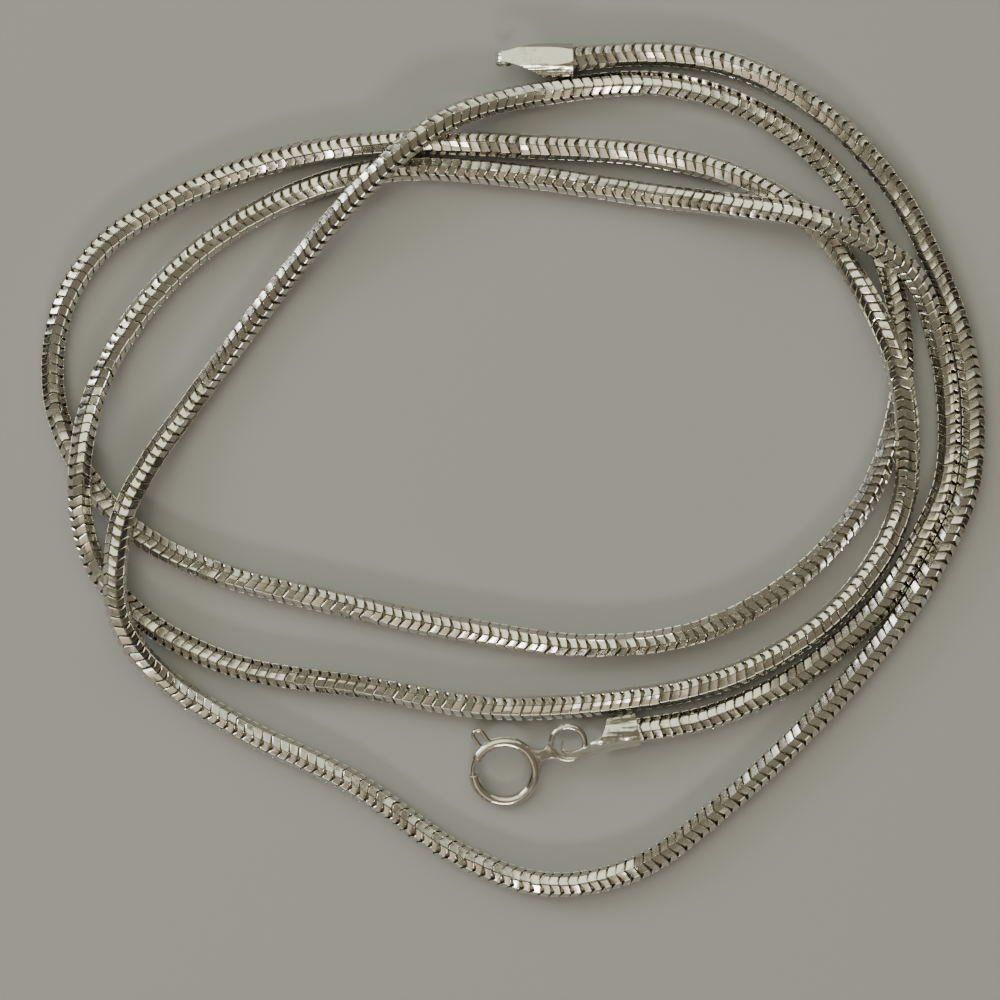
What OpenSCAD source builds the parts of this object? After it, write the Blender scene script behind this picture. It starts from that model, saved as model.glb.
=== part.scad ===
// Snake chain laid in a loose coil, with a stamped end cap on each end and a spring ring clasp.
// X runs to the right, Y away from the clasp side, and Z up from the surface that the chain lies on.

/* [Chain] */
// Width of the chain across opposite corners of its eight sides
chain_d = 1.95; // [1.6:0.05:1.95]
// Number of flat sides that the links show around the chain
chain_sides = 8; // [8:2:12]

/* [End caps] */
// Outside diameter of a cap's barrel
cap_d = 2.75; // [2.7:0.05:2.9]
// Thickness of the stamped sheet
cap_wall = 0.13; // [0.1:0.01:0.15]
// Distance from the barrel's axis to the pressed flat face
cap_face = 1.14; // [1.13:0.01:1.25]
// Distance from the mouth to the centre of the curl
curl_at = 5.5; // [5.3:0.1:5.8]
// Outside diameter of the closed eye on the tail cap
eye_d = 1.4; // [1.2:0.05:1.5]
// Width of the tongue where it rolls into the tail cap's eye
eye_w = 0.86; // [0.76:0.02:1]
// Outside diameter of the open hook on the clasp cap
hook_d = 1.6; // [1.4:0.05:1.6]
// Width of the tongue where it bends into the clasp cap's hook
hook_w = 0.84; // [0.6:0.02:0.9]
// Width of the hook at its tip
hook_tip_w = 0.3; // [0.2:0.02:0.4]
// Angle that the closed eye bends through
eye_turn = 305; // [290:5:315]
// Angle that the open hook bends through
hook_turn = 135; // [110:1:140]

/* [Clasp] */
// Outside diameter of the spring ring
clasp_d = 5.8; // [5.6:0.05:6]
// Diameter of the spring ring's tube
tube_d = 0.9; // [0.86:0.02:0.94]
// Diameter of the bolt that slides in the tube
bolt_d = 0.42; // [0.38:0.02:0.46]
// Radial clearance between the bolt and the tube's bore
bolt_clearance = 0.05; // [0.03:0.01:0.06]
// Angle at which the gap in the ring begins
gap_from = 155; // [152:1:158]
// Angle at which the gap in the ring ends
gap_to = 186; // [182:1:188]
// Angle through which the bolt can be drawn back
bolt_travel = 40; // [38:1:40]
// Outside diameter of the fixed end ring
end_ring_d = 3.2; // [3.1:0.05:3.2]
// Diameter of the end ring's wire
end_ring_wire = 0.5; // [0.4:0.05:0.5]
// Distance from the spring ring's centre to the end ring's centre
end_ring_at = 5.6; // [5.5:0.05:5.6]
// Width of the neck at its narrowest place
neck_w = 0.88; // [0.8:0.02:1]
// Thickness of the neck
neck_t = 0.7; // [0.6:0.05:0.8]
// Diameter of the lug's wire
lug_wire = 0.34; // [0.28:0.02:0.36]
// Width of the lug's loop, outside to outside
lug_d = 1.14; // [1.06:0.02:1.2]

/* [Hidden] */
silver = [0.80, 0.78, 0.76];
bright_silver = [0.86, 0.85, 0.83];
// Rounds are drawn with this many sides
fine = 72;
// Length that carries a cutting shape clear of what it cuts
overcut = 1;
full_turn = 360;

// Centre line of the chain, from the end held in the tail cap to the end held in the clasp cap
chain_route = [
    [2.6, 32.66, 1.36], [5.2, 32.84, 1.32], [12, 33.2, 0.95], [18.5, 32, 0.9],
    [25, 28.3, 0.9], [30.6, 22.3, 0.9], [34.3, 15, 0.9], [36, 10, 0.9],
    [36.8, 4.5, 0.9], [36.4, -1.5, 0.9], [34.2, -6.8, 0.9], [31, -12, 0.9],
    [25.2, -19, 0.9], [17, -26.8, 0.9], [10, -31.9, 0.9], [3, -33.3, 0.9],
    [-4, -31.1, 0.9], [-13, -25.1, 0.9], [-22, -20.7, 0.9], [-28, -16.8, 1.1],
    [-30.8, -13.3, 2.4], [-31.7, -10, 3], [-31.1, -3.9, 3], [-28.9, 0.6, 1.8],
    [-25.5, 5.5, 0.9], [-19.6, 13.5, 0.9], [-13.8, 20.5, 2.25], [-10.4, 23.9, 3],
    [-8, 26, 3.05], [-4, 28.4, 2.1], [3, 30.15, 0.9], [12.5, 30.7, 0.9],
    [20.5, 27.9, 0.9], [26.6, 22.4, 0.9], [29.9, 16.2, 0.9], [31.1, 9.5, 0.9],
    [30.5, 3.5, 0.9], [28, -2.8, 0.9], [22.5, -8.9, 0.9], [15, -13, 0.9],
    [6, -14.2, 0.9], [-4, -12.9, 0.9], [-14, -10.8, 0.9], [-24, -8.2, 0.9],
    [-30.5, -4.8, 0.9], [-34.7, 0.2, 0.9], [-36.8, 6, 0.9], [-36.2, 12.6, 0.9],
    [-33.2, 17.5, 0.9], [-27.5, 21.4, 0.9], [-19, 24.7, 0.9], [-10, 26.1, 0.9],
    [1, 25.8, 0.9], [11, 25.1, 0.9], [18, 23.3, 0.9], [23.5, 20, 0.9],
    [27.2, 15.4, 1.2], [29.9, 9.9, 2.75], [31, 6, 3], [31.4, 2, 2.6],
    [31.3, -2.2, 1.2], [29.2, -7.3, 0.9], [24.5, -12.6, 0.9], [17, -16.8, 0.9],
    [8, -18.65, 0.9], [-2, -19.1, 0.9], [-12, -17.5, 0.9], [-22, -15.9, 0.9],
    [-28.3, -13, 0.9], [-31.8, -10, 0.9], [-33.4, -7.8, 1], [-34.4, -4.3, 2.1],
    [-34.5, 0, 3.1], [-33.7, 5, 2.1], [-31.4, 10.3, 1], [-26, 16.7, 0.9],
    [-18, 21.7, 0.9], [-10, 23.9, 0.9], [-1, 23.6, 0.9], [11, 21.9, 0.9],
    [18, 20.9, 2.3], [23.5, 20, 3.05], [29.2, 17.5, 3.1], [32.1, 15, 2.4],
    [34, 10, 1], [34.8, 4.5, 0.9], [34.5, -1.1, 0.9], [32.5, -5.9, 0.9],
    [29.4, -10.8, 0.9], [23, -16.5, 0.9], [16, -19.8, 0.98], [10.3, -20.91, 1.32],
    [7.9, -21.2, 1.36]
];

// Mouth centres of the caps, their headings in plan, how far each face is rolled from straight up,
// and how much the clasp cap rises toward its hook, which rests on the end ring
tail_mouth = [4.75, 32.6, cap_d / 2];
tail_heading = 180;
tail_roll = 13;
clasp_mouth = [9.88, -20.8, cap_d / 2];
clasp_cap_heading = 191.5;
clasp_cap_roll = -60;
clasp_cap_rise = 3.2;

// Slanting cut through a cap's barrel: distance from the mouth as a share of curl_at, and height
// above the barrel's axis as a share of its radius
slant = [[0.4, -0.7], [0.465, 0], [0.52, 0.38], [0.6, 0.6], [1, 0.6]];
// Taper of a cap's face: distance from the mouth as a share of curl_at, and half width as a share of
// the barrel's radius
taper = [[0.5, 1.1], [0.6, 0.8], [0.68, 0.71], [0.76, 0.6], [0.86, 0.47]];
// The face is pressed in on a slow arch from the mouth to this share of curl_at, and is flat after it
press_share = 0.42;
// How much further from the axis the face is at the mouth
press_depth = 0.16;

// Spring ring: middle of its tube's circle, lean about X, and the directions of its end ring and lug
tube_r = tube_d / 2;
ring_r = clasp_d / 2 - tube_r;
clasp_lean = 12;
floor_gap = 0.01;
clasp_at = [-0.72, -24.27, tube_r + ring_r * sin(clasp_lean) + floor_gap];
end_ring_dir = 25;
lug_dir = 125;
bore_d = bolt_d + 2 * bolt_clearance;
// The bolt and its bore lie this much nearer the outside than the middle of the tube
bolt_shift = 0.08;
bolt_ring_r = ring_r + bolt_shift;
// Ends of the bolt: its tip sits in the far tube end, its tail well inside the near one
tip_overlap = 4;
bolt_tail_dir = 96;
// Neck: widths at the spring ring and at the end ring, radius of the waist on each side, and the
// share of the way between the two rings at which the waist lies
neck_root_w = 2.5;
neck_top_w = 1.5;
waist_r = 0.9;
waist_share = 0.6;
// Lug: radius of its bent wire's centre line, and length of its legs outside the tube
lug_r = (lug_d - lug_wire) / 2;
lug_leg = 0.78;

// Frame of one ring of the swept chain
function unit(v) = v / norm(v);
function heading(path, i) =
    i == 0 ? unit(path[1] - path[0]) :
    i == len(path) - 1 ? unit(path[i] - path[i - 1]) :
    unit(unit(path[i] - path[i - 1]) + unit(path[i + 1] - path[i]));
function side_of(t) = unit(cross(t, [0, 0, 1]));
function ring_points(path, i, r, sides) =
    let (t = heading(path, i), side = side_of(t), up = cross(side, t))
    [for (k = [0 : sides - 1])
        let (a = (k + 0.5) * full_turn / sides)
        path[i] + r * (cos(a) * side + sin(a) * up)];

// Solid with the same flat-sided section all along a path
module swept_rod(path, r, sides) {
    rings = len(path);
    points = [for (i = [0 : rings - 1]) each ring_points(path, i, r, sides)];
    walls = [for (i = [0 : rings - 2], k = [0 : sides - 1])
        let (n = (k + 1) % sides)
        [i * sides + k, i * sides + n, (i + 1) * sides + n, (i + 1) * sides + k]];
    first = [for (k = [sides - 1 : -1 : 0]) k];
    last = [for (k = [0 : sides - 1]) (rings - 1) * sides + k];
    polyhedron(points = points, faces = concat(walls, [first, last]), convexity = 10);
}

// Round bar along +X whose top is pressed in: an arch from the mouth, then flat at the face
module pressed_bar(r, face) {
    press_to = press_share * curl_at;
    arch_r = (press_to * press_to + press_depth * press_depth) / (2 * press_depth);
    difference() {
        rotate([0, 90, 0]) cylinder(r = r, h = curl_at, $fn = fine);
        translate([press_to, 0, face + arch_r]) rotate([90, 0, 0])
            cylinder(r = arch_r, h = 2 * cap_d, center = true, $fn = fine);
        translate([press_to, -cap_d, face]) cube([curl_at, 2 * cap_d, cap_d]);
    }
}

// What the barrel keeps, seen from the side: full near the mouth, then cut slantwise to the face
module side_outline() {
    cut = [for (p = slant) [p[0] * curl_at, p[1] * cap_d / 2]];
    polygon(concat([[0, -cap_d], [cut[0][0], -cap_d]], cut, [[curl_at, cap_d], [0, cap_d]]));
}

// What the barrel keeps, seen toward the face: full near the mouth, then tapering to the tongue
module face_outline(tongue_w) {
    cut = [for (p = taper) [p[0] * curl_at, p[1] * cap_d / 2]];
    edge = concat([[0, cut[0][1]]], cut, [[curl_at, tongue_w / 2]]);
    other_edge = [for (k = [len(edge) - 1 : -1 : 0]) [edge[k][0], -edge[k][1]]];
    polygon(concat(edge, other_edge));
}

// Strip bent round a circle, from the top of the circle away from the barrel
module bent_strip(d, turn) {
    r = d / 2;
    // The open part is cut away as a fan of triangles beside the start
    fans = 3;
    open = full_turn - turn;
    difference() {
        circle(r = r, $fn = fine);
        circle(r = r - cap_wall, $fn = fine);
        polygon(concat([[0, 0]],
            [for (k = [0 : fans]) let (a = 90 + k * open / fans) 2 * r * [cos(a), sin(a)]]));
    }
}

// Cap with its mouth at the origin, its curl along +X and its flat face up
module end_cap(curl_d, curl_turn, tongue_w, tip_w) {
    intersection() {
        difference() {
            pressed_bar(cap_d / 2, cap_face);
            pressed_bar(cap_d / 2 - cap_wall, cap_face - cap_wall);
        }
        rotate([90, 0, 0]) linear_extrude(height = 2 * cap_d, center = true) side_outline();
        linear_extrude(height = 2 * cap_d, center = true) face_outline(tongue_w);
    }
    translate([curl_at, 0, cap_face - curl_d / 2]) intersection() {
        rotate([90, 0, 0]) linear_extrude(height = tongue_w, center = true)
            bent_strip(curl_d, curl_turn);
        rotate([90, 0, 90]) linear_extrude(height = 2 * curl_d, center = true)
            polygon([
                [-tip_w / 2, -curl_d / 2], [tip_w / 2, -curl_d / 2],
                [tongue_w / 2, curl_d / 2], [-tongue_w / 2, curl_d / 2]
            ]);
    }
}

// Round bar bent along part of a circle in the XY plane
module bent_bar(centre_r, r, from_angle, to_angle) {
    rotate([0, 0, from_angle]) rotate_extrude(angle = to_angle - from_angle, $fn = fine)
        translate([centre_r, 0]) circle(r = r, $fn = fine);
}

// Puts what is drawn about the spring ring's own centre in its place
module in_clasp_frame() {
    translate(clasp_at) rotate([clasp_lean, 0, 0]) children();
}

// Slot along the outside of the tube that the lug slides in
module lug_slot() {
    slot_w = lug_wire + 2 * bolt_clearance;
    leg_turn = asin((lug_r + slot_w / 2) / bolt_ring_r);
    first = lug_dir - bolt_travel - leg_turn;
    last = lug_dir + leg_turn;
    rotate([0, 0, first]) rotate_extrude(angle = last - first, $fn = fine)
        translate([ring_r, -slot_w / 2]) square([tube_r + overcut, slot_w]);
}

// Web between the spring ring and the end ring, waisted by a circle on each side
module neck() {
    reach = end_ring_at - end_ring_d / 2 + end_ring_wire / 2;
    between_rings = end_ring_at - end_ring_d / 2 - clasp_d / 2;
    waist_at = clasp_d / 2 + waist_share * between_rings;
    rotate([0, 0, end_ring_dir]) linear_extrude(height = neck_t, center = true) difference() {
        polygon([
            [ring_r, -neck_root_w / 2], [reach, -neck_top_w / 2],
            [reach, neck_top_w / 2], [ring_r, neck_root_w / 2]
        ]);
        for (side = [-1, 1])
            translate([waist_at, side * (neck_w / 2 + waist_r)]) circle(r = waist_r, $fn = fine);
        translate([end_ring_at, 0]) circle(d = end_ring_d - end_ring_wire, $fn = fine);
    }
}

module chain() {
    color(silver) swept_rod(chain_route, chain_d / 2, chain_sides);
}

module tail_cap() {
    color(bright_silver) translate(tail_mouth) rotate([0, 0, tail_heading])
        rotate([tail_roll, 0, 0]) end_cap(eye_d, eye_turn, eye_w, eye_w);
}

module clasp_cap() {
    color(bright_silver) translate(clasp_mouth) rotate([0, -clasp_cap_rise, clasp_cap_heading])
        rotate([clasp_cap_roll, 0, 0]) end_cap(hook_d, hook_turn, hook_w, hook_tip_w);
}

module clasp_ring() {
    color(bright_silver) in_clasp_frame() {
        difference() {
            union() {
                bent_bar(ring_r, tube_r, gap_to - full_turn, gap_from);
                neck();
            }
            rotate_extrude($fn = fine) translate([bolt_ring_r, 0]) circle(d = bore_d, $fn = fine);
            lug_slot();
        }
        rotate([0, 0, end_ring_dir]) translate([end_ring_at, 0, 0])
            rotate_extrude($fn = fine)
                translate([end_ring_d / 2 - end_ring_wire / 2, 0]) circle(d = end_ring_wire, $fn = fine);
    }
}

module clasp_bolt() {
    loop_at = clasp_d / 2 + lug_leg;
    // The legs start on the bolt's centre line, which is nearer at their offset than straight out
    leg_from = sqrt(bolt_ring_r * bolt_ring_r - lug_r * lug_r);
    color(silver) in_clasp_frame() {
        bent_bar(bolt_ring_r, bolt_d / 2, bolt_tail_dir, gap_to + tip_overlap);
        rotate([0, 0, lug_dir]) {
            translate([loop_at, 0, 0]) bent_bar(lug_r, lug_wire / 2, -90, 90);
            for (side = [-1, 1])
                translate([leg_from, side * lug_r, 0]) rotate([0, 90, 0])
                    cylinder(d = lug_wire, h = loop_at - leg_from, $fn = fine);
        }
    }
}

chain();
tail_cap();
clasp_cap();
clasp_ring();
clasp_bolt();
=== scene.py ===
import bpy
import numpy as np
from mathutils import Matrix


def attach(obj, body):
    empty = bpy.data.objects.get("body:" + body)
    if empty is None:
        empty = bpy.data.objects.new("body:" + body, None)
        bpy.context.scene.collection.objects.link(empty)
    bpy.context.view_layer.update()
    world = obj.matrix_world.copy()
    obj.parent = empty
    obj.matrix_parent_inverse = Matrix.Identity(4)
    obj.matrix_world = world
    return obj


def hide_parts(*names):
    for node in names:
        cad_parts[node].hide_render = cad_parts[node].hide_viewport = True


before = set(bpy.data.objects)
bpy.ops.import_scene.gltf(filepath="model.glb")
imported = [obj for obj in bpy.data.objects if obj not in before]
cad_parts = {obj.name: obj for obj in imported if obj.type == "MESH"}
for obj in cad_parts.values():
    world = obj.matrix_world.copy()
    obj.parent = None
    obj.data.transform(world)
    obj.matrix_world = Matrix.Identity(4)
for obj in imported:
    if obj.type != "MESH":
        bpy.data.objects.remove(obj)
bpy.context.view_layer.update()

# Camera
# It looks straight down, as in the photograph, whose width covers 80 mm at the chain's mean height.
MM = 0.001
CAMERA_CENTRE = (-1.08 * MM, -2.52 * MM)
CAMERA_HEIGHT = 330 * MM
VIEW_WIDTH = 80 * MM
MEAN_HEIGHT = 1.2 * MM
SENSOR_WIDTH_MM = 36
NEAREST_SEEN = 10 * MM

camera_data = bpy.data.cameras.new("camera")
camera_data.sensor_width = SENSOR_WIDTH_MM
camera_data.lens = SENSOR_WIDTH_MM * (CAMERA_HEIGHT - MEAN_HEIGHT) / VIEW_WIDTH
camera_data.clip_start = NEAREST_SEEN
camera = bpy.data.objects.new("camera", camera_data)
camera.location = (CAMERA_CENTRE[0], CAMERA_CENTRE[1], CAMERA_HEIGHT)
bpy.context.scene.collection.objects.link(camera)
bpy.context.scene.camera = camera

# Floor
# A plain matt sheet of pale grey, on which the chain lies. Its warm tint is the light's.
FLOOR_HALF = 0.6
FLOOR_COLOUR = (0.412, 0.408, 0.415, 1)
FLOOR_ROUGHNESS = 0.6


def new_material(name):
    """Node material with an empty Principled shader; returns it with its node tree and shader."""
    material = bpy.data.materials.new(name)
    material.use_nodes = True
    tree = material.node_tree
    return material, tree, tree.nodes["Principled BSDF"]


def flat_mesh(name, verts, faces):
    """Mesh object with flat faces, at the origin, from arrays of points (n, 3) and of quads (m, 4)."""
    mesh = bpy.data.meshes.new(name)
    mesh.vertices.add(len(verts))
    mesh.vertices.foreach_set("co", np.ascontiguousarray(verts, np.float32).ravel())
    mesh.loops.add(faces.size)
    mesh.loops.foreach_set("vertex_index", np.ascontiguousarray(faces, np.int32).ravel())
    mesh.polygons.add(len(faces))
    mesh.polygons.foreach_set("loop_start", np.arange(0, faces.size, faces.shape[1], dtype=np.int32))
    mesh.polygons.foreach_set("use_smooth", np.zeros(len(faces), bool))
    mesh.update()
    mesh.validate()
    piece = bpy.data.objects.new(name, mesh)
    bpy.context.scene.collection.objects.link(piece)
    return piece


floor_corners = np.array([[-1, -1, 0], [1, -1, 0], [1, 1, 0], [-1, 1, 0]]) * FLOOR_HALF
floor = flat_mesh("floor", floor_corners, np.array([[0, 1, 2, 3]]))
floor_material, _, floor_shader = new_material("floor_sheet")
floor_shader.inputs["Base Color"].default_value = FLOOR_COLOUR
floor_shader.inputs["Roughness"].default_value = FLOOR_ROUGHNESS
floor.data.materials.append(floor_material)

# Light
# A large soft box to the upper left with a window below it, a weak panel at the back and two warm ones
# in front. The room is dim, and darkest to its left and right: each cut flat mirrors its own tone.
PANEL_DISTANCE = 1.0
# Columns: name, degrees round from +X and down from straight up, width and height, radiance, colour
SOFT_PANELS = [
    ("sky_panel", 128, 32, (1.12, 0.96), 1.50, (0.97, 1.0, 0.76)),
    ("window_panel", 152, 66, (0.36, 0.30), 8.6, (0.94, 0.97, 1.0)),
    ("back_panel", 68, 56, (0.60, 0.50), 1.00, (0.93, 1.0, 0.84)),
    ("warm_panel", 258, 40, (0.75, 0.34), 0.60, (1.0, 0.85, 0.62)),
    ("lamp_panel", 268, 58, (0.32, 0.13), 20.0, (1.0, 0.94, 0.84)),
]
ROOM_COLOUR = (0.150, 0.136, 0.102, 1)
ROOM_STRENGTH = 1.38
# The room fades to its sides between these shares of the direction that points along X
SIDE_STRENGTH = 0.18
SIDE_FADE = (0.72, 0.92)


def soft_panel(name, azimuth_deg, zenith_deg, size, radiance, colour):
    """Rectangular light that faces the coil from a direction given from +X round and from the zenith.

    Its power is its radiance times its area times pi."""
    azimuth = np.radians(azimuth_deg)
    zenith = np.radians(zenith_deg)
    data = bpy.data.lights.new(name, "AREA")
    data.shape = "RECTANGLE"
    data.size, data.size_y = size
    data.energy = radiance * np.pi * size[0] * size[1]
    data.color = colour
    lamp = bpy.data.objects.new(name, data)
    lamp.location = (PANEL_DISTANCE * np.sin(zenith) * np.cos(azimuth),
                     PANEL_DISTANCE * np.sin(zenith) * np.sin(azimuth),
                     PANEL_DISTANCE * np.cos(zenith))
    lamp.rotation_euler = (-lamp.location).to_track_quat("-Z", "Y").to_euler()
    bpy.context.scene.collection.objects.link(lamp)


def dim_room():
    """World of one colour, whose strength falls in proportion as the direction turns to either side."""
    room = bpy.data.worlds.new("room")
    room.use_nodes = True
    tree = room.node_tree
    direction = tree.nodes.new("ShaderNodeTexCoord")
    parts = tree.nodes.new("ShaderNodeSeparateXYZ")
    sideways = tree.nodes.new("ShaderNodeMath")
    sideways.operation = "ABSOLUTE"
    fade = tree.nodes.new("ShaderNodeMapRange")
    fade.inputs["From Min"].default_value, fade.inputs["From Max"].default_value = SIDE_FADE
    fade.inputs["To Min"].default_value = ROOM_STRENGTH
    fade.inputs["To Max"].default_value = SIDE_STRENGTH
    background = tree.nodes["Background"]
    background.inputs["Color"].default_value = ROOM_COLOUR
    tree.links.new(direction.outputs["Generated"], parts.inputs["Vector"])
    tree.links.new(parts.outputs["X"], sideways.inputs[0])
    tree.links.new(sideways.outputs["Value"], fade.inputs["Value"])
    tree.links.new(fade.outputs["Result"], background.inputs["Strength"])
    return room


for panel in SOFT_PANELS:
    soft_panel(*panel)
bpy.context.scene.world = dim_room()

# Chain links
# A round snake chain of sterling silver: hundreds of thin wavy rings that nest in one another,
# pressed tight and then cut flat on eight sides. The rings part where their waves point back, which
# shows as dark slits. Sizes here are in millimetres.

# Centre line from the end held in the tail cap to the end held in the clasp cap. Columns: x, y, z
CHAIN_ROUTE_MM = [
    (2.6, 32.66, 1.36), (5.2, 32.84, 1.32), (12, 33.2, 0.95), (18.5, 32, 0.9),
    (25, 28.3, 0.9), (30.6, 22.3, 0.9), (34.3, 15, 0.9), (36, 10, 0.9),
    (36.8, 4.5, 0.9), (36.4, -1.5, 0.9), (34.2, -6.8, 0.9), (31, -12, 0.9),
    (25.2, -19, 0.9), (17, -26.8, 0.9), (10, -31.9, 0.9), (3, -33.3, 0.9),
    (-4, -31.1, 0.9), (-13, -25.1, 0.9), (-22, -20.7, 0.9), (-28, -16.8, 1.1),
    (-30.8, -13.3, 2.4), (-31.7, -10, 3), (-31.1, -3.9, 3), (-28.9, 0.6, 1.8),
    (-25.5, 5.5, 0.9), (-19.6, 13.5, 0.9), (-13.8, 20.5, 2.25), (-10.4, 23.9, 3),
    (-8, 26, 3.05), (-4, 28.4, 2.1), (3, 30.15, 0.9), (12.5, 30.7, 0.9),
    (20.5, 27.9, 0.9), (26.6, 22.4, 0.9), (29.9, 16.2, 0.9), (31.1, 9.5, 0.9),
    (30.5, 3.5, 0.9), (28, -2.8, 0.9), (22.5, -8.9, 0.9), (15, -13, 0.9),
    (6, -14.2, 0.9), (-4, -12.9, 0.9), (-14, -10.8, 0.9), (-24, -8.2, 0.9),
    (-30.5, -4.8, 0.9), (-34.7, 0.2, 0.9), (-36.8, 6, 0.9), (-36.2, 12.6, 0.9),
    (-33.2, 17.5, 0.9), (-27.5, 21.4, 0.9), (-19, 24.7, 0.9), (-10, 26.1, 0.9),
    (1, 25.8, 0.9), (11, 25.1, 0.9), (18, 23.3, 0.9), (23.5, 20, 0.9),
    (27.2, 15.4, 1.2), (29.9, 9.9, 2.75), (31, 6, 3), (31.4, 2, 2.6),
    (31.3, -2.2, 1.2), (29.2, -7.3, 0.9), (24.5, -12.6, 0.9), (17, -16.8, 0.9),
    (8, -18.65, 0.9), (-2, -19.1, 0.9), (-12, -17.5, 0.9), (-22, -15.9, 0.9),
    (-28.3, -13, 0.9), (-31.8, -10, 0.9), (-33.4, -7.8, 1), (-34.4, -4.3, 2.1),
    (-34.5, 0, 3.1), (-33.7, 5, 2.1), (-31.4, 10.3, 1), (-26, 16.7, 0.9),
    (-18, 21.7, 0.9), (-10, 23.9, 0.9), (-1, 23.6, 0.9), (11, 21.9, 0.9),
    (18, 20.9, 2.3), (23.5, 20, 3.05), (29.2, 17.5, 3.1), (32.1, 15, 2.4),
    (34, 10, 1), (34.8, 4.5, 0.9), (34.5, -1.1, 0.9), (32.5, -5.9, 0.9),
    (29.4, -10.8, 0.9), (23, -16.5, 0.9), (16, -19.8, 0.98), (10.3, -20.91, 1.32),
    (7.9, -21.2, 1.36),
]
# Columns: length along the chain, and degrees by which its cut flats are turned there
FLAT_TWIST = [
    (0, 5), (14, 0), (22, -8), (28, 0), (38, 9), (44, 20), (60, 18), (66, 30), (84, 31), (94, 27),
    (103, 44), (118, 45), (128, 46), (140, 40), (150, 35), (155, 26), (166, 24), (172, 12),
    (186, 13), (198, 1), (204, 5), (208, -6), (214, -15), (230, -24), (256, -22), (268, -21),
    (276, -25), (290, -39), (300, -47), (308, -57), (318, -60), (334, -70), (338, -77),
    (345, -90), (358, -90), (366, -104), (372, -100), (380, -87), (396, -90), (404, -92),
    (416, -108), (424, -98), (436, -92), (455, -98), (462, -96), (472, -103), (486, -110),
    (494, -122), (510, -107), (518, -115), (530, -135), (538, -133), (546, -140), (558, -128),
    (572, -130), (578, -140), (590, -158), (606, -155), (618, -163), (626, -147), (636, -145),
    (644, -128),
]
# Columns: length along the chain, and degrees by which the links' waves are turned there
WAVE_TWIST = [
    (0, 18), (14, 20), (20, 24), (28, 28), (38, 35), (50, 36), (60, 34), (68, 48), (84, 45),
    (96, 50), (106, 36), (118, 36), (128, 15), (134, 25), (143, -27), (155, -5), (163, 0),
    (169, -5), (176, -22), (188, -25), (198, -50), (206, -50), (214, -66), (228, -64),
    (242, -80), (256, -108), (268, -99), (282, -106), (290, -120), (300, -118), (306, -148),
    (313, -155), (318, -135), (333, -180), (338, -183), (345, -205), (352, -205), (358, -198),
    (366, -215), (380, -220), (396, -222), (402, -225), (416, -250), (424, -267), (436, -265),
    (455, -267), (475, -272), (480, -275), (488, -292), (496, -293), (510, -312), (520, -312),
    (530, -335), (549, -345), (557, -387), (570, -378), (577, -385), (590, -432), (604, -430),
    (614, -439), (626, -428), (634, -430), (642, -435),
]
# The twists are counted from the top of the chain
TOP_DEG = 90
# A link: from its centre to its ridges, from it to the next, its inside as a share of its outside,
# and the bevel on its edges
LINK_CIRCUMRADIUS = 0.985
LINK_PITCH = 0.79
INNER_SHARE = 0.62
LINK_BEVEL = 0.065
# Flats round the chain, and waves round a link, each of which rises this much ahead and back
FLATS = 8
WAVES = 3
WAVE_RISE = 0.175
# Slit between two links: its least width, its width at each notch, and what one flank adds to it.
# Both widen it as a bell with a spread, whose middle is shifted from the notch's.
GAP_THIN = 0.03
GAP_NOTCH = 0.27
GAP_NOTCH_SPREAD_DEG = 22
GAP_NOTCH_SHIFT_DEG = -4
GAP_FLANK = 0.08
GAP_FLANK_SPREAD_DEG = 13
GAP_FLANK_SHIFT_DEG = 36
# From the middle of a notch to the mesh's points on its flanks
NOTCH_FLANK_DEG = 17
# How much links differ: tilt as a slope, turn in degrees, and size as a share
RANDOM_SEED = 8
TILT_SPREAD = 0.026
TURN_SPREAD_DEG = 1.5
SIZE_SPREAD = 0.012
# Samples of the route from one of its points to the next, and the space under the lowest links
SAMPLES_PER_SPAN = 40
FLOOR_GAP = 0.01
# The chain's stiffness evens out its height over this much each way
LEVEL_SPAN = 1.5
LEVEL_SAMPLES = 9


def between(place, start, end, first, second):
    """Mix of two points, in proportion to where a place lies from a start to an end."""
    return (end - place) / (end - start) * first + (place - start) / (end - start) * second


def smooth_path(points, samples):
    """Smooth curve through the points, as an array of samples for each span between two of them.

    Four points shape a span, its own two and one on either side, with a mirrored point past each end.
    A knot for each is as far from the last as the square root of the distance between their points.
    Neighbours are mixed in proportion between their knots, then neighbouring mixes between knots that
    are two apart, and then those two between the span's own. Heights stay between those of its ends."""
    spans = len(points) - 1
    mirrored = np.vstack([2 * points[0] - points[1], points, 2 * points[-1] - points[-2]])
    steps = np.sqrt(np.linalg.norm(np.diff(mirrored, axis=0), axis=1))
    knots = np.cumsum([np.zeros(spans), steps[:-2], steps[1:-1], steps[2:]], axis=0)[..., None, None]
    corners = [mirrored[k:spans + k][:, None, :] for k in range(4)]
    share = np.linspace(0, 1, samples, endpoint=False)[None, :, None]
    place = knots[1] + (knots[2] - knots[1]) * share
    pairs = [between(place, knots[k], knots[k + 1], corners[k], corners[k + 1]) for k in range(3)]
    threes = [between(place, knots[k], knots[k + 2], pairs[k], pairs[k + 1]) for k in range(2)]
    curve = between(place, knots[1], knots[2], threes[0], threes[1])
    low = np.minimum(corners[1][..., 2], corners[2][..., 2])
    high = np.maximum(corners[1][..., 2], corners[2][..., 2])
    curve[..., 2] = np.clip(curve[..., 2], low, high)
    return np.vstack([curve.reshape(-1, 3), points[-1:]])


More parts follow.
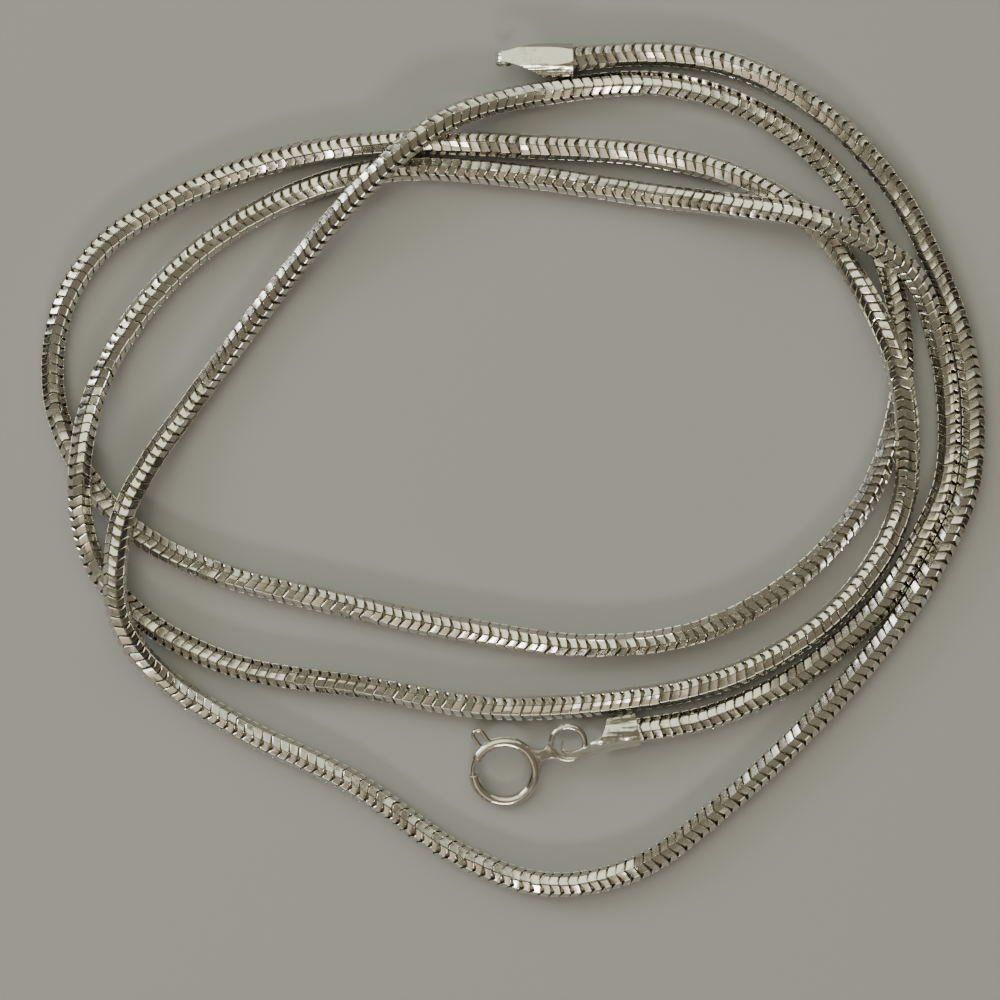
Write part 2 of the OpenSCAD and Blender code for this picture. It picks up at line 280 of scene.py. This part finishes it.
route = np.array(CHAIN_ROUTE_MM, float)
dense = smooth_path(route, SAMPLES_PER_SPAN)
dense_arc = np.concatenate([[0], np.cumsum(np.linalg.norm(np.diff(dense, axis=0), axis=1))])
chain_length = dense_arc[-1]
link_count = int(round(chain_length / LINK_PITCH))
pitch = chain_length / link_count
link_arc = (np.arange(link_count) + 0.5) * pitch
lowest_centre = LINK_CIRCUMRADIUS + FLOOR_GAP


def unit(vectors):
    """Rows of an array, each divided by its length."""
    return vectors / np.linalg.norm(vectors, axis=1)[:, None]


def chain_frames(arc):
    """Centres, directions, right-hand sides and upward directions of the chain at given lengths.

    The heights are averaged over a short length, and stay at or above a link that lies on the floor.
    The direction is the slope of the centres, the side its cross product with straight up, and the
    upward direction the cross product of the two."""
    places = np.stack([np.interp(arc, dense_arc, dense[:, k]) for k in range(3)], axis=-1)
    offsets = np.linspace(-LEVEL_SPAN, LEVEL_SPAN, LEVEL_SAMPLES)
    heights = np.mean([np.interp(arc + d, dense_arc, dense[:, 2]) for d in offsets], axis=0)
    places[:, 2] = np.maximum(heights, lowest_centre)
    ahead = unit(np.gradient(places, axis=0))
    right = unit(np.cross(ahead, [0, 0, 1]))
    return places, ahead, right, np.cross(right, ahead)


def wrapped(angle, period):
    """The angle less whole periods, between minus and plus half a period."""
    return (angle + period / 2) % period - period / 2


def twist_at(table, arc):
    """Angles in radians at given lengths, as a column: the top's plus the table's, even between its rows."""
    lengths, degrees = np.array(table, float).T
    return np.radians(TOP_DEG + np.interp(arc, lengths, degrees))[:, None]


def bell(angle, centre_deg, spread_deg):
    """The exponential of minus the square of the distance from the centre over the spread."""
    return np.exp(-((np.degrees(angle) - centre_deg) / spread_deg) ** 2)


def grid_faces(rows, columns):
    """Quads between the points of a grid whose last column joins its first."""
    row = np.arange(rows - 1)[:, None] * columns
    column = np.arange(columns)[None, :]
    following = (column + 1) % columns
    corners = [row + column, row + following, row + columns + following, row + columns + column]
    return np.stack(corners, axis=-1).reshape(-1, 4)


# Frames of the links, each tilted a little by itself
rng = np.random.default_rng(RANDOM_SEED)
centres, tangents, sides, ups = chain_frames(link_arc)
tilt = rng.normal(0, TILT_SPREAD, (link_count, 2))
tangents = unit(tangents + tilt[:, :1] * sides + tilt[:, 1:] * ups)
sides = unit(np.cross(tangents, ups))
ups = np.cross(sides, tangents)

# Angles round each link at which its mesh has points: ridges between flats, notches and peaks of the
# wave, and both flanks of each notch
flat_step = 2 * np.pi / FLATS
wave_step = 2 * np.pi / WAVES
turn = np.radians(rng.normal(0, TURN_SPREAD_DEG, link_count))[:, None]
ridge = twist_at(FLAT_TWIST, link_arc) + turn
notch = twist_at(WAVE_TWIST, link_arc)
notches = notch + np.arange(WAVES) * wave_step
flank = np.radians(NOTCH_FLANK_DEG)
angles = np.concatenate([ridge + np.arange(FLATS) * flat_step, notches, notches + wave_step / 2,
                         notches - flank, notches + flank], axis=1)
angles = np.sort(angles % (2 * np.pi), axis=1)
columns = angles.shape[1]

# Radius, wave and slit at those angles. A flat lies at the circumradius times the cosine of half a
# flat's step, over the cosine of the angle from its middle. The wave is minus its rise times the
# cosine of its turns round the link, and the slit its least width plus the two bells.
circumradius = LINK_CIRCUMRADIUS * (1 + rng.normal(0, SIZE_SPREAD, link_count).clip(-1, 0))[:, None]
from_flat = wrapped(angles - ridge - flat_step / 2, flat_step)
outer = circumradius * np.cos(flat_step / 2) / np.cos(from_flat)
inner = outer * INNER_SHARE
from_notch = wrapped(angles - notch, wave_step)
wave = -WAVE_RISE * np.cos(WAVES * from_notch)
gap = (GAP_THIN + (GAP_NOTCH - GAP_THIN) * bell(from_notch, GAP_NOTCH_SHIFT_DEG, GAP_NOTCH_SPREAD_DEG)
       + GAP_FLANK * bell(from_notch, GAP_FLANK_SHIFT_DEG, GAP_FLANK_SPREAD_DEG))
half_band = (pitch - gap) / 2

# Section of a link's band: the inner edge, then the bevelled outer face from back to front
along = np.stack([wave, wave - half_band, wave - half_band + LINK_BEVEL,
                  wave + half_band - LINK_BEVEL, wave + half_band], axis=1)
radial = np.stack([inner, outer - LINK_BEVEL, outer, outer, outer - LINK_BEVEL], axis=1)
profile_points = along.shape[1]
spokes = np.cos(angles)[..., None] * sides[:, None, :] + np.sin(angles)[..., None] * ups[:, None, :]
link_verts = (centres[:, None, None, :]
              + along[..., None] * tangents[:, None, None, :]
              + radial[..., None] * spokes[:, None, :, :])
one_link = grid_faces(profile_points + 1, columns) % (profile_points * columns)
link_faces = np.arange(link_count)[:, None, None] * profile_points * columns + one_link[None]
chain_links = flat_mesh("chain_links", link_verts.reshape(-1, 3) * MM, link_faces.reshape(-1, 4))

# What the links' silver reads at each point: how far in it lies, the link's own shade, how near a
# ridge it is, and where it is across the band from -1 to 1. The lists follow the band's section.
PROFILE_RECESS = (1.0, 0.12, 0.0, 0.0, 0.12)
PROFILE_PLACE = (0.0, -1.0, -0.82, 0.82, 1.0)


def point_values(piece, name, values):
    """Named value at each point of a piece's mesh, for its material to read."""
    layer = piece.data.attributes.new(name, "FLOAT", "POINT")
    layer.data.foreach_set("value", np.ascontiguousarray(values, np.float32).ravel())


every_point = np.ones_like(radial)
point_values(chain_links, "recess", np.array(PROFILE_RECESS)[None, :, None] * every_point)
point_values(chain_links, "link_shade", rng.uniform(0, 1, link_count)[:, None, None] * every_point)
point_values(chain_links, "ridge_near", (np.abs(from_flat) / (flat_step / 2))[:, None, :] * every_point)
point_values(chain_links, "band_place", np.array(PROFILE_PLACE)[None, :, None] * every_point)

# Silver of the cut flats: bright where rubbed, cloudy, duller on some links, and darker toward the
# slits, with tarnish and painted shade
BRIGHT_SILVER = (0.78, 0.765, 0.705, 1)
DULL_SILVER = (0.66, 0.62, 0.55, 1)
# Brown of tarnish and of painted shade, for the slits' walls and the chain's inside
TARNISH_AND_SHADE = (0.50, 0.45, 0.34, 1)
# Clouds and grain: cells a metre, and octaves of finer detail in them
CLOUD_SCALE = 420
CLOUD_DETAIL = 4
GRAIN_SCALE = 5200
LINK_GRAIN_DETAIL = 3
# Links dull by one share over this range of the clouds, and by the other from link to link
LINK_CLOUDS = (0.42, 0.68)
CLOUD_SHARE = 0.6
SHADE_SHARE = 0.4
# Tarnish and painted shade of the slits set in over this range of the recess
SHADE_AND_TARNISH_RECESS = (0.1, 0.95)
# Roughness over this range of the grain
LINK_GRAIN = (0.35, 0.7)
LINK_ROUGHNESS = (0.13, 0.24)
# Added to it on the worn ridges, from this nearness on, and on the slits' walls
WORN_NEAR = 0.80
WORN_ROUGHNESS = 0.08
WALL_RECESS = (0.1, 1.0)
WALL_ROUGHNESS = 0.3
# Ridges are rounded from this nearness on, and each link's face is a little crowned and grained
ROUNDED_NEAR = 0.84
RIDGE_DEPTH = 0.05 * MM
CROWN_DEPTH = 0.01 * MM
GRAIN_DEPTH = 0.0012 * MM
# Places of a colour Mix node's two colours and of its result among its sockets
MIX_COLOURS = (6, 7)
MIX_RESULT = 2


def noise(tree, scale, detail, stretch=None):
    """Noise over the object's own coordinates, with the scale in cells a metre.

    A stretch multiplies the coordinates first, so that a small factor draws the cells out that way."""
    place = tree.nodes.new("ShaderNodeTexCoord").outputs["Object"]
    if stretch is not None:
        stretched = tree.nodes.new("ShaderNodeVectorMath")
        stretched.operation = "MULTIPLY"
        stretched.inputs[1].default_value = stretch
        tree.links.new(place, stretched.inputs[0])
        place = stretched.outputs["Vector"]
    made = tree.nodes.new("ShaderNodeTexNoise")
    made.inputs["Scale"].default_value = scale
    made.inputs["Detail"].default_value = detail
    tree.links.new(place, made.inputs["Vector"])
    return made.outputs["Fac"]


def named_value(tree, name):
    """Value stored in the mesh under a name."""
    made = tree.nodes.new("ShaderNodeAttribute")
    made.attribute_name = name
    return made.outputs["Fac"]


def spread(tree, value, source, target):
    """Value carried in proportion from one range to another, held at its ends."""
    made = tree.nodes.new("ShaderNodeMapRange")
    made.inputs["From Min"].default_value, made.inputs["From Max"].default_value = source
    made.inputs["To Min"].default_value, made.inputs["To Max"].default_value = target
    tree.links.new(value, made.inputs["Value"])
    return made.outputs["Result"]


def combined(tree, first, second, operation):
    """Sum or product of two sockets, with the operation ADD or MULTIPLY."""
    made = tree.nodes.new("ShaderNodeMath")
    made.operation = operation
    tree.links.new(first, made.inputs[0])
    tree.links.new(second, made.inputs[1])
    return made.outputs[0]


def mixed(tree, share, first, second):
    """Colour between two colours or sockets: the first where the share is 0, the second where it is 1."""
    made = tree.nodes.new("ShaderNodeMix")
    made.data_type = "RGBA"
    tree.links.new(share, made.inputs["Factor"])
    for number, colour in zip(MIX_COLOURS, (first, second)):
        if isinstance(colour, tuple):
            made.inputs[number].default_value = colour
        else:
            tree.links.new(colour, made.inputs[number])
    return made.outputs[MIX_RESULT]


def bumped(tree, height, depth, normal=None):
    """Normal bent by the slope of a height from 0 to 1 that stands for a depth in metres."""
    made = tree.nodes.new("ShaderNodeBump")
    made.inputs["Strength"].default_value = 1
    made.inputs["Distance"].default_value = depth
    tree.links.new(height, made.inputs["Height"])
    if normal is not None:
        tree.links.new(normal, made.inputs["Normal"])
    return made.outputs["Normal"]


link_silver, link_tree, link_shader = new_material("cut_link_silver")
link_shader.inputs["Metallic"].default_value = 1
cloud = noise(link_tree, CLOUD_SCALE, CLOUD_DETAIL)
grain = noise(link_tree, GRAIN_SCALE, LINK_GRAIN_DETAIL)
recess = named_value(link_tree, "recess")
link_shade = named_value(link_tree, "link_shade")
ridge_near = named_value(link_tree, "ridge_near")
band_place = named_value(link_tree, "band_place")
dulling = combined(link_tree, spread(link_tree, cloud, LINK_CLOUDS, (0, CLOUD_SHARE)),
                   spread(link_tree, link_shade, (0, 1), (0, SHADE_SHARE)), "ADD")
polished = mixed(link_tree, dulling, BRIGHT_SILVER, DULL_SILVER)
# Painted shade of the slits, with tarnish: the silver darkens toward each band's inner edge
shaded_and_tarnished = mixed(link_tree, spread(link_tree, recess, SHADE_AND_TARNISH_RECESS, (0, 1)), polished, TARNISH_AND_SHADE)
link_tree.links.new(shaded_and_tarnished, link_shader.inputs["Base Color"])
worn = spread(link_tree, ridge_near, (WORN_NEAR, 1), (0, WORN_ROUGHNESS))
face_gloss = combined(link_tree, spread(link_tree, grain, LINK_GRAIN, LINK_ROUGHNESS), worn, "ADD")
wall_gloss = spread(link_tree, recess, WALL_RECESS, (0, WALL_ROUGHNESS))
link_tree.links.new(combined(link_tree, face_gloss, wall_gloss, "ADD"), link_shader.inputs["Roughness"])
place_squared = combined(link_tree, band_place, band_place, "MULTIPLY")
crown = spread(link_tree, place_squared, (0, 1), (1, 0))
rounding = spread(link_tree, ridge_near, (ROUNDED_NEAR, 1), (1, 0))
rounded = bumped(link_tree, rounding, RIDGE_DEPTH, bumped(link_tree, crown, CROWN_DEPTH))
link_tree.links.new(bumped(link_tree, grain, GRAIN_DEPTH, rounded), link_shader.inputs["Normal"])
chain_links.data.materials.append(link_silver)
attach(chain_links, "necklace")
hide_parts("chain")

# Chain core
# The links are open in the middle. What shows through their slits is the chain's inside, which one
# plain closed tube within them stands for: its dark brown is painted shade, with tarnish. Sizes here
# are in millimetres.
CORE_RADIUS = 0.66
CORE_SIDES = 10
CORE_STEP = 0.9
# Dark brown of the inside: painted shade, with tarnish
CORE_SHADE_BROWN = (0.11, 0.095, 0.07, 1)
CORE_CLOUD_DETAIL = 3
CORE_GRAIN_DETAIL = 2
CORE_GRAIN = (0.3, 0.7)
CORE_ROUGHNESS = (0.4, 0.6)

core_arc = np.linspace(pitch / 2, chain_length - pitch / 2, int(chain_length / CORE_STEP))
core_places, _, core_sides, core_ups = chain_frames(core_arc)
core_angles = (np.arange(CORE_SIDES) * 2 * np.pi / CORE_SIDES)[None, :, None]
core_spokes = np.cos(core_angles) * core_sides[:, None, :] + np.sin(core_angles) * core_ups[:, None, :]
core_rings = core_places[:, None, :] + CORE_RADIUS * core_spokes
core_verts = np.vstack([core_rings.reshape(-1, 3), core_places[:1], core_places[-1:]])

# The tube's wall, and a fan of triangles round a point at each end
core_wall = grid_faces(len(core_arc), CORE_SIDES)
around = np.arange(CORE_SIDES)
following = (around + 1) % CORE_SIDES
last_ring = (len(core_arc) - 1) * CORE_SIDES
first_pole = np.full(CORE_SIDES, len(core_arc) * CORE_SIDES)
first_fan = np.stack([following, first_pole, around], axis=1)
last_fan = np.stack([last_ring + around, first_pole + 1, last_ring + following], axis=1)
core_mesh = bpy.data.meshes.new("chain_core")
core_mesh.from_pydata((core_verts * MM).tolist(), [],
                      core_wall.tolist() + first_fan.tolist() + last_fan.tolist())
core_mesh.update()
chain_core = bpy.data.objects.new("chain_core", core_mesh)
bpy.context.scene.collection.objects.link(chain_core)

core_dark, core_tree, core_shader = new_material("core_shade_and_tarnish")
core_shader.inputs["Metallic"].default_value = 1
core_cloud = noise(core_tree, CLOUD_SCALE, CORE_CLOUD_DETAIL)
core_grain = noise(core_tree, GRAIN_SCALE, CORE_GRAIN_DETAIL)
# The tube's colour is painted shade of the chain's inside, with tarnish, clouded
core_tree.links.new(mixed(core_tree, core_cloud, TARNISH_AND_SHADE, CORE_SHADE_BROWN), core_shader.inputs["Base Color"])
core_tree.links.new(spread(core_tree, core_grain, CORE_GRAIN, CORE_ROUGHNESS),
                    core_shader.inputs["Roughness"])
chain_core.data.materials.append(core_dark)
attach(chain_core, "necklace")
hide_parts("chain")

# End caps
# Each is stamped from thin silver sheet and pressed flat on the chain's end, with its tongue rolled
# into an eye or bent into a hook. It is polished over the dents and long creases of the pressing.
SHEET_SILVER = (0.66, 0.67, 0.60, 1)
SHEET_ROUGHNESS = (0.14, 0.26)
SHEET_SCRATCH = 0.003 * MM
SHEET_DENT = 0.15 * MM
SHEET_CREASE = 0.16 * MM
SHEET_EDGE = 0.05 * MM
SCRATCH_DETAIL = 4
DENT_SCALE = 640
DENT_DETAIL = 2
# The creases run along X, as both caps do
CREASE_SCALE = 1700
CREASE_STRETCH = (0.14, 1, 1)
CREASE_DETAIL = 1
# Ranges of the clouds over which the silver dulls, and of the scratches over which it roughens
PIECE_CLOUDS = (0.40, 0.68)
PIECE_SCRATCHES = (0.35, 0.68)
# Rays that the shader sends out at each point to find the edges that it rounds
BEVEL_SAMPLES = 4


def polished_silver(name, bright, roughness, scratch_depth, dent_depth, edge_radius, crease_depth=None):
    """Silver that clouds from its bright tone to the dull one, with scratches, dents and rounded edges.

    Roughness is a range that the scratches move in, and the depths and the radius are in metres. A
    crease depth adds the long creases of pressed sheet."""
    material, tree, shader = new_material(name)
    shader.inputs["Metallic"].default_value = 1
    clouds = noise(tree, CLOUD_SCALE, CLOUD_DETAIL)
    scratches = noise(tree, GRAIN_SCALE, SCRATCH_DETAIL)
    tone = mixed(tree, spread(tree, clouds, PIECE_CLOUDS, (0, 1)), bright, DULL_SILVER)
    tree.links.new(tone, shader.inputs["Base Color"])
    tree.links.new(spread(tree, scratches, PIECE_SCRATCHES, roughness), shader.inputs["Roughness"])
    edges = tree.nodes.new("ShaderNodeBevel")
    edges.samples = BEVEL_SAMPLES
    edges.inputs["Radius"].default_value = edge_radius
    dented = bumped(tree, noise(tree, DENT_SCALE, DENT_DETAIL), dent_depth, edges.outputs["Normal"])
    if crease_depth is not None:
        creases = noise(tree, CREASE_SCALE, CREASE_DETAIL, CREASE_STRETCH)
        dented = bumped(tree, creases, crease_depth, dented)
    tree.links.new(bumped(tree, scratches, scratch_depth, dented), shader.inputs["Normal"])
    return material


def finish_solid(node_name, silver):
    """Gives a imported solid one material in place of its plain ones."""
    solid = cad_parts[node_name]
    solid.data.materials.clear()
    solid.data.materials.append(silver)


sheet_silver = polished_silver("cap_sheet_silver", SHEET_SILVER, SHEET_ROUGHNESS, SHEET_SCRATCH,
                               SHEET_DENT, SHEET_EDGE, SHEET_CREASE)
finish_solid("tail_cap", sheet_silver)
finish_solid("clasp_cap", sheet_silver)

# Spring ring
# A ring bent from silver tube, with a neck and an end ring soldered on, then polished bright. Solder
# and polish round its edges more than the caps'.
TUBE_SILVER = (0.72, 0.71, 0.66, 1)
TUBE_ROUGHNESS = (0.08, 0.17)
TUBE_SCRATCH = 0.002 * MM
TUBE_DENT = 0.05 * MM
TUBE_EDGE = 0.16 * MM

finish_solid("clasp_ring", polished_silver("ring_tube_silver", TUBE_SILVER, TUBE_ROUGHNESS, TUBE_SCRATCH,
                                           TUBE_DENT, TUBE_EDGE))

# Bolt
# A round silver wire that slides in the ring's tube, with the bent loop of its lug soldered on.
# Rubbing in the tube keeps it a little duller than the ring.
BOLT_ROUGHNESS = (0.10, 0.20)
BOLT_SCRATCH = 0.002 * MM
BOLT_DENT = 0.03 * MM
BOLT_EDGE = 0.05 * MM

finish_solid("clasp_bolt", polished_silver("bolt_wire_silver", TUBE_SILVER, BOLT_ROUGHNESS, BOLT_SCRATCH,
                                           BOLT_DENT, BOLT_EDGE))
